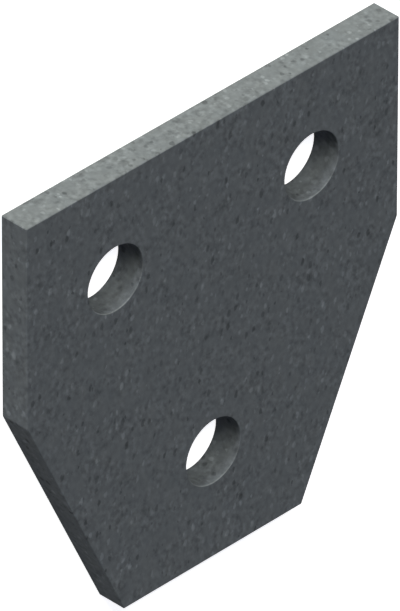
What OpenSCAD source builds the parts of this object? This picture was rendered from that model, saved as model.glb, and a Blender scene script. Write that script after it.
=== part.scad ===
// Gusset plate for joining framing channel: one flat, six-sided steel plate
// with straight shoulders, sides that taper to a narrower foot, and three
// round bolt holes set in a triangle. Every edge and hole rim is broken.
//
// The plate lies on its back face. The origin is the middle of that face's
// bounding rectangle. +X runs across the width, +Y towards the wide top edge
// and +Z out of the front face. All lengths are in millimetres.

/* [Plate] */
// Width across the top edge
plate_w = 89; // [80:0.5:140]
// Height from the foot edge up to the top edge
plate_h = 90; // [84:0.5:140]
// Thickness of the plate
plate_t = 6; // [3:0.5:12]
// Height of the straight shoulder on each side
shoulder_h = 41; // [36:0.5:64]
// Width of the foot edge
foot_w = 43; // [30:0.5:70]

/* [Holes] */
// Diameter of each bolt hole
hole_d = 13; // [6:0.5:16]
// Spacing of the two upper holes, centre to centre
pair_pitch = 47; // [30:0.5:56]
// Distance of the upper holes' centres below the top edge
pair_drop = 20.5; // [12:0.5:26]
// Distance of the lower hole's centre below the upper holes' centres
row_pitch = 47.5; // [30:0.5:48]

/* [Edges] */
// Width that the 45 degree flat along an outer edge takes off each face
edge_break = 0.15; // [0.1:0.05:1]
// Width that the 45 degree flat round a hole's rim takes off each face
rim_break = 0.1; // [0.1:0.05:1]

/* [Hidden] */
$fn = 96;
zinc_grey = [0.36, 0.38, 0.39];

// How far a cutter reaches past the surface that it cuts
over = 1;

top_y = plate_h / 2;
shoulder_y = top_y - shoulder_h;
foot_y = -plate_h / 2;

// The corners of the right-hand side, from the foot up
right_side = [
    [foot_w / 2, foot_y],
    [plate_w / 2, shoulder_y],
    [plate_w / 2, top_y]
];
// The same corners mirrored, from the top down, so the outline runs anticlockwise
left_side = [for (i = [len(right_side) - 1:-1:0]) [-right_side[i].x, right_side[i].y]];
corners = concat(right_side, left_side);
outline = broken_corners(corners, edge_break);

hole_r = hole_d / 2;
pair_y = top_y - pair_drop;
hole_centres = [
    [-pair_pitch / 2, pair_y],
    [pair_pitch / 2, pair_y],
    [0, pair_y - row_pitch]
];

// The item after or before number i in a list that closes on itself
function next(list, i) = list[(i + 1) % len(list)];
function previous(list, i) = list[(i + len(list) - 1) % len(list)];

// The point that lies a distance d from p on the way to q
function along(p, q, d) = p + d * (q - p) / norm(q - p);

// An outline with each corner cut off at a distance d along both its sides
function broken_corners(points, d) = [
    for (i = [0:len(points) - 1])
        for (neighbour = [previous(points, i), next(points, i)])
            along(points[i], neighbour, d)
];

// A bar along the front edge from p to q, which cuts the flat there. It runs
// on past both ends, where it crosses its neighbours, so the flats are mitred.
module front_edge_cutter(p, q) {
    side = q - p;
    translate([p.x, p.y, plate_t])
        rotate([90, 0, atan2(side.y, side.x) + 90])
            translate([0, 0, -over])
                linear_extrude(norm(side) + 2 * over)
                    polygon([
                        [edge_break + over, over],
                        [-over, over],
                        [-over, -edge_break - over]
                    ]);
}

module front_edge_cutters() {
    for (i = [0:len(outline) - 1])
        front_edge_cutter(outline[i], next(outline, i));
}

// The cone that cuts the flat round a hole's front rim
module front_rim_cutter() {
    translate([0, 0, plate_t - rim_break])
        cylinder(h = rim_break + over, r1 = hole_r, r2 = hole_r + rim_break + over);
}

// What cuts the front face, turned over to cut the back face
module turned_over() {
    translate([0, 0, plate_t])
        mirror([0, 0, 1])
            children();
}

module bolt_hole() {
    translate([0, 0, -over])
        cylinder(h = plate_t + 2 * over, r = hole_r);
    front_rim_cutter();
    turned_over() front_rim_cutter();
}

module gusset_plate() {
    color(zinc_grey)
        difference() {
            linear_extrude(plate_t) polygon(outline);
            front_edge_cutters();
            turned_over() front_edge_cutters();
            for (centre = hole_centres)
                translate(centre) bolt_hole();
        }
}

gusset_plate();
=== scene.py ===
"""A gusset plate of zinc-coated steel, lying on its back face on a white studio floor."""
import math

import bmesh
import bpy
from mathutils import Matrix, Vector

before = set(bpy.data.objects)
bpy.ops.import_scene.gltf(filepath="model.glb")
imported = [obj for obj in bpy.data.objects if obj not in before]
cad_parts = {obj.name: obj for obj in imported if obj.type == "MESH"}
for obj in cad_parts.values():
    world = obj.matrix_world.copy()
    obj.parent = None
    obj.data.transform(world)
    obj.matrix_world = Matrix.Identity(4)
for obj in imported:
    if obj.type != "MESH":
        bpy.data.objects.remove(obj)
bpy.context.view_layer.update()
scene = bpy.context.scene

MM_PER_M = 1000.0

# The camera: the photograph's isometric corner view, which looks down on the plate and
# has the plate's height upright in the picture. Its place, in metres, and its turn were
# fitted so that the plate's corners fall on the photograph's.
CAMERA_LENS_MM = 1100.0
CAMERA_PLACE = (-1.83603, 1.82413, 1.81675)
CAMERA_TURN_DEG = (-35.2734, -45.2696, 0.1512)

# The lamps. The bearing runs from +X towards +Y. The light is that on a face square to
# the lamp, where 1 shows a colour as written. The key reaches the front, the top edge and
# the left side. Low adds to the top edge, to the left side and to the holes' walls near
# their rims. Grazing is so low that it lights the top edge and hardly the front. Far_side
# reaches the sides turned away from the camera. Overhead makes the front a little bluer,
# and the floor with it.
LAMPS = [
    # name, bearing, elevation and width in degrees, light, colour
    ("key", 110, 30, 30, 0.85, (1.01, 1.0, 0.92)),
    ("low", 115, 6, 12, 0.56, (1.01, 1.0, 1.03)),
    ("grazing", 90, 0.7, 1.4, 0.925, (1.02, 1.0, 0.83)),
    ("far_side", 315, 6, 30, 0.3, (1.0, 1.0, 1.0)),
    ("overhead", 0, 90, 10, 0.045, (0.0, 0.1, 1.0)),
]
# The faint light that comes from all round
FILL_LIGHT = 0.01
FILL_COLOUR = (0.6, 0.9, 1.2)

# The floor: its own colour, which the lamps and the plate's shadow show on, and a glow
# that only the camera, gloss and clear materials see. Its size is in metres, and so is
# the drop that keeps it clear of the plate's back.
FLOOR_SIZE = 6.0
FLOOR_DROP = 0.00003
FLOOR_COLOUR = (0.8, 0.8, 0.8)
FLOOR_GLOW = 0.9

# The zinc coating. Lengths are in millimetres, and contrasts are shares of the colour.
# The colour turns from cool to warm as the clouds' noise runs over the tint's span.
ZINC_COLOUR = (0.1053, 0.117, 0.1262)
ZINC_WARM = (0.1067, 0.117, 0.124)
TINT_SPAN = (0.25, 0.75)
# From the dark of the mottle to its light
ZINC_METALLIC = (0.18, 0.06)
ZINC_ROUGHNESS = (0.68, 0.54)
BUMP_HEIGHT = 0.012

# The noise: the middle of its values, how much fine detail it has and how strong that is
NOISE_MIDDLE = 0.5
NOISE_DETAIL = 2.0
NOISE_ROUGHNESS = 0.5

# The grain of the mottle and that of the pits and flecks: how it is turned about X, Y and
# Z, and how far the pattern is drawn out along each axis once turned
MOTTLE_TURN_DEG = (16, 0, 25)
MOTTLE_STRETCH = (1.0, 1.35, 1.08)
MARK_TURN_DEG = (8, 0, -6)
MARK_STRETCH = (1.0, 1.7, 1.25)

# The fine mottle, and the clouds, in some of which it is calmer and in some livelier. It
# runs from its calmest to its liveliest as a noise of the clouds' size runs over the span.
MOTTLE_PERIOD = 1.0
MOTTLE_CONTRAST = 0.95
CLOUD_PERIOD = 3.2
CLOUD_CONTRAST = 0.1
LIVELINESS = (0.5, 1.5)
LIVELINESS_SPAN = (0.38, 0.62)

# The dark pits and the light flecks. The radius is that of the largest. The shift moves
# the flecks' pattern away from that of the pits.
PIT_SPACING = 1.75
PIT_RADIUS = 0.6
PIT_CONTRAST = 0.47
PIT_SHIFT = 0.0
FLECK_SPACING = 1.5
FLECK_RADIUS = 0.56
FLECK_CONTRAST = 0.5
FLECK_SHIFT = 40.0
# The smallest and the weakest of them, as shares of the largest and the strongest
SMALLEST_SPOT = 0.35
WEAKEST_SPOT = 0.25
# How steeply they rise from their edges, and how softly they level off in their middles
SPOT_STEEPNESS = 2.4
SPOT_ROUNDING = 0.3
# How wide a band their outlines wander in, over what length and how roughly
RAGGED = 0.8
RAGGED_PERIOD = 1.0
RAGGED_ROUGHNESS = 0.6


def node(tree, kind, **settings):
    """A new shader node, with its own properties set by name."""
    made = tree.nodes.new(kind)
    for name, value in settings.items():
        setattr(made, name, value)
    return made


def feed(tree, socket, value):
    """Sets an input socket to a plain value, or links another node's output to it."""
    if isinstance(value, bpy.types.NodeSocket):
        tree.links.new(value, socket)
    else:
        socket.default_value = value


def maths(tree, operation, *values, clamp=False):
    """The output of a sum on plain values or other nodes' outputs."""
    made = node(tree, "ShaderNodeMath", operation=operation, use_clamp=clamp)
    for socket, value in zip(made.inputs, values):
        feed(tree, socket, value)
    return made.outputs[0]


def vectors(tree, operation, *values):
    """The output of a sum on vectors."""
    made = node(tree, "ShaderNodeVectorMath", operation=operation)
    for socket, value in zip(made.inputs, values):
        feed(tree, socket, value)
    return made.outputs[0]


def between(tree, share, low, high, start=0.0, end=1.0):
    """Runs from low to high as the share runs from start to end, and stays there outside them."""
    made = node(tree, "ShaderNodeMapRange", clamp=True)
    feed(tree, made.inputs["Value"], share)
    made.inputs["From Min"].default_value = start
    made.inputs["From Max"].default_value = end
    made.inputs["To Min"].default_value = low
    made.inputs["To Max"].default_value = high
    return made.outputs["Result"]


def channels(tree, colour):
    """The three channels of a colour, each an output of its own."""
    split = node(tree, "ShaderNodeSeparateColor")
    tree.links.new(colour, split.inputs[0])
    return split.outputs


def seen_directly(tree):
    """1 on camera, glossy and transmission rays, which should meet white, and 0 on the rest."""
    path = node(tree, "ShaderNodeLightPath")
    camera_or_glossy = maths(tree, "MAXIMUM", path.outputs["Is Camera Ray"], path.outputs["Is Glossy Ray"])
    return maths(tree, "MAXIMUM", camera_or_glossy, path.outputs["Is Transmission Ray"])


def add_camera():
    """The photograph's view."""
    camera = bpy.data.objects.new("camera", bpy.data.cameras.new("camera"))
    scene.collection.objects.link(camera)
    camera.data.lens = CAMERA_LENS_MM
    camera.location = CAMERA_PLACE
    camera.rotation_euler = [math.radians(a) for a in CAMERA_TURN_DEG]
    scene.camera = camera


def add_world():
    """An even fill for the object, which the camera sees as plain white."""
    world = bpy.data.worlds.new("studio")
    scene.world = world
    world.use_nodes = True
    tree = world.node_tree
    tree.nodes.clear()
    fill = node(tree, "ShaderNodeBackground")
    fill.inputs["Color"].default_value = (*FILL_COLOUR, 1)
    fill.inputs["Strength"].default_value = FILL_LIGHT
    white = node(tree, "ShaderNodeBackground")
    white.inputs["Color"].default_value = (1, 1, 1, 1)
    mix = node(tree, "ShaderNodeMixShader")
    out = node(tree, "ShaderNodeOutputWorld")
    tree.links.new(seen_directly(tree), mix.inputs["Fac"])
    tree.links.new(fill.outputs[0], mix.inputs[1])
    tree.links.new(white.outputs[0], mix.inputs[2])
    tree.links.new(mix.outputs[0], out.inputs["Surface"])


def add_lamp(name, bearing_deg, elevation_deg, width_deg, light, colour):
    """A soft, distant lamp that shines towards the plate from the given direction."""
    bearing = math.radians(bearing_deg)
    elevation = math.radians(elevation_deg)
    towards = Vector((
        math.cos(elevation) * math.cos(bearing),
        math.cos(elevation) * math.sin(bearing),
        math.sin(elevation),
    ))
    lamp = bpy.data.lights.new(name, "SUN")
    lamp.energy = light * math.pi
    lamp.angle = math.radians(width_deg)
    lamp.color = colour
    placed = bpy.data.objects.new(name, lamp)
    scene.collection.objects.link(placed)
    placed.rotation_euler = towards.to_track_quat("Z", "Y").to_euler()


def floor_material():
    """Pale paint with a glow that lights nothing, so it isn't sampled as a lamp."""
    material = bpy.data.materials.new("floor")
    material.use_nodes = True
    material.cycles.emission_sampling = "NONE"
    tree = material.node_tree
    tree.nodes.clear()
    paint = node(tree, "ShaderNodeBsdfDiffuse")
    paint.inputs["Color"].default_value = (*FLOOR_COLOUR, 1)
    glow = node(tree, "ShaderNodeEmission")
    feed(tree, glow.inputs["Strength"], maths(tree, "MULTIPLY", seen_directly(tree), FLOOR_GLOW))
    both = node(tree, "ShaderNodeAddShader")
    out = node(tree, "ShaderNodeOutputMaterial")
    tree.links.new(paint.outputs[0], both.inputs[0])
    tree.links.new(glow.outputs[0], both.inputs[1])
    tree.links.new(both.outputs[0], out.inputs["Surface"])
    return material


def add_floor():
    """A square floor just below the plate's back."""
    mesh = bpy.data.meshes.new("floor")
    bm = bmesh.new()
    bmesh.ops.create_grid(bm, x_segments=1, y_segments=1, size=FLOOR_SIZE / 2)
    bm.to_mesh(mesh)
    bm.free()
    mesh.materials.append(floor_material())
    floor = bpy.data.objects.new("floor", mesh)
    floor.location.z = -FLOOR_DROP
    scene.collection.objects.link(floor)


def drawn_out(tree, place, turn_deg, stretch):
    """The place in millimetres along the grain, for a pattern drawn out by the given stretch."""
    mapping = node(tree, "ShaderNodeMapping", vector_type="TEXTURE")
    feed(tree, mapping.inputs["Vector"], place)
    mapping.inputs["Rotation"].default_value = [math.radians(a) for a in turn_deg]
    mapping.inputs["Scale"].default_value = [s / MM_PER_M for s in stretch]
    return mapping.outputs[0]


def cloudy(tree, place, period, roughness=NOISE_ROUGHNESS):
    """Soft noise around its middle, with features about the given period apart."""
    noise = node(tree, "ShaderNodeTexNoise", noise_dimensions="3D")
    feed(tree, noise.inputs["Vector"], place)
    noise.inputs["Scale"].default_value = 1.0 / period
    noise.inputs["Detail"].default_value = NOISE_DETAIL
    noise.inputs["Roughness"].default_value = roughness
    return noise


def made_ragged(tree, place, grain):
    """The place moved about a little, so that the outlines of what is drawn there wander."""
    noise = cloudy(tree, grain, RAGGED_PERIOD, RAGGED_ROUGHNESS)
    wander = vectors(tree, "SUBTRACT", noise.outputs["Color"], (NOISE_MIDDLE,) * 3)
    return vectors(tree, "ADD", place, vectors(tree, "MULTIPLY", wander, (RAGGED,) * 3))


def lively_mottle(tree, grain, cloud):
    """The fine mottle, stronger in some of the clouds and weaker in others."""
    mottle = cloudy(tree, grain, MOTTLE_PERIOD).outputs["Fac"]
    second_noise = channels(tree, cloud.outputs["Color"])[1]
    liveliness = between(tree, second_noise, *LIVELINESS, *LIVELINESS_SPAN)
    centred = maths(tree, "SUBTRACT", mottle, NOISE_MIDDLE)
    return maths(tree, "MULTIPLY_ADD", centred, liveliness, NOISE_MIDDLE)


def spots(tree, place, shift, spacing, radius):
    """Soft-edged spots that differ in size and in strength, up to 1 in the middle and 0 around them."""
    cells = node(tree, "ShaderNodeTexVoronoi", voronoi_dimensions="3D", feature="F1")
    feed(tree, cells.inputs["Vector"], vectors(tree, "ADD", place, (shift,) * 3))
    cells.inputs["Scale"].default_value = 1.0 / spacing
    by_cell = channels(tree, cells.outputs["Color"])
    largest = radius / spacing
    reach = between(tree, by_cell[0], SMALLEST_SPOT * largest, largest)
    strength = between(tree, by_cell[1], WEAKEST_SPOT, 1.0)
    outwards = maths(tree, "DIVIDE", cells.outputs["Distance"], reach)
    inwards = maths(tree, "SUBTRACT", 1.0, outwards, clamp=True)
    steep = maths(tree, "MULTIPLY", inwards, SPOT_STEEPNESS)
    levelled = maths(tree, "SMOOTH_MIN", steep, 1.0, SPOT_ROUNDING)
    return maths(tree, "MULTIPLY", levelled, strength)


def varied(tree, noise, contrast):
    """1 at the noise's middle, and more or less by the contrast as the noise moves away from it."""
    return maths(tree, "MULTIPLY_ADD", noise, contrast, 1.0 - NOISE_MIDDLE * contrast)


def zinc_colour(tree, cloud, mottle, pits, flecks):
    """The coating's colour: a tint that the clouds give, and a tone that all four patterns give."""
    tone = varied(tree, mottle, MOTTLE_CONTRAST)
    tone = maths(tree, "MULTIPLY", tone, varied(tree, cloud, CLOUD_CONTRAST))
    tone = maths(tree, "MULTIPLY", tone, maths(tree, "MULTIPLY_ADD", pits, -PIT_CONTRAST, 1.0))
    tone = maths(tree, "MULTIPLY", tone, maths(tree, "MULTIPLY_ADD", flecks, FLECK_CONTRAST, 1.0))
    tint = node(tree, "ShaderNodeMix", data_type="VECTOR")
    feed(tree, tint.inputs["Factor"], between(tree, cloud, 0.0, 1.0, *TINT_SPAN))
    feed(tree, tint.inputs["A"], ZINC_COLOUR)
    feed(tree, tint.inputs["B"], ZINC_WARM)
    colour = node(tree, "ShaderNodeVectorMath", operation="SCALE")
    feed(tree, colour.inputs[0], tint.outputs["Result"])
    feed(tree, colour.inputs["Scale"], tone)
    return colour.outputs[0]


def zinc():
    """Dull grey zinc: a fine, cloudy mottle with dark pits and light flecks, the same on every face."""
    material = bpy.data.materials.new("zinc_coated_steel")
    material.use_nodes = True
    tree = material.node_tree
    shader = tree.nodes["Principled BSDF"]

    place = node(tree, "ShaderNodeTexCoord").outputs["Object"]
    grain = drawn_out(tree, place, MOTTLE_TURN_DEG, MOTTLE_STRETCH)
    marks = made_ragged(tree, drawn_out(tree, place, MARK_TURN_DEG, MARK_STRETCH), grain)
    cloud = cloudy(tree, grain, CLOUD_PERIOD)
    mottle = lively_mottle(tree, grain, cloud)
    pits = spots(tree, marks, PIT_SHIFT, PIT_SPACING, PIT_RADIUS)
    flecks = spots(tree, marks, FLECK_SHIFT, FLECK_SPACING, FLECK_RADIUS)

    feed(tree, shader.inputs["Base Color"], zinc_colour(tree, cloud.outputs["Fac"], mottle, pits, flecks))
    feed(tree, shader.inputs["Metallic"], between(tree, mottle, *ZINC_METALLIC))
    feed(tree, shader.inputs["Roughness"], between(tree, mottle, *ZINC_ROUGHNESS))
    # What gloss there is comes from the metallic share alone
    shader.inputs["Specular IOR Level"].default_value = 0.0

    bump = node(tree, "ShaderNodeBump")
    bump.inputs["Distance"].default_value = BUMP_HEIGHT / MM_PER_M
    feed(tree, bump.inputs["Height"], maths(tree, "ADD", mottle, maths(tree, "SUBTRACT", flecks, pits)))
    feed(tree, shader.inputs["Normal"], bump.outputs[0])
    return material


add_camera()
add_world()
for lamp in LAMPS:
    add_lamp(*lamp)
add_floor()
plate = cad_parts["gusset_plate"]
plate.data.materials.clear()
plate.data.materials.append(zinc())

scene.view_settings.view_transform = "Standard"
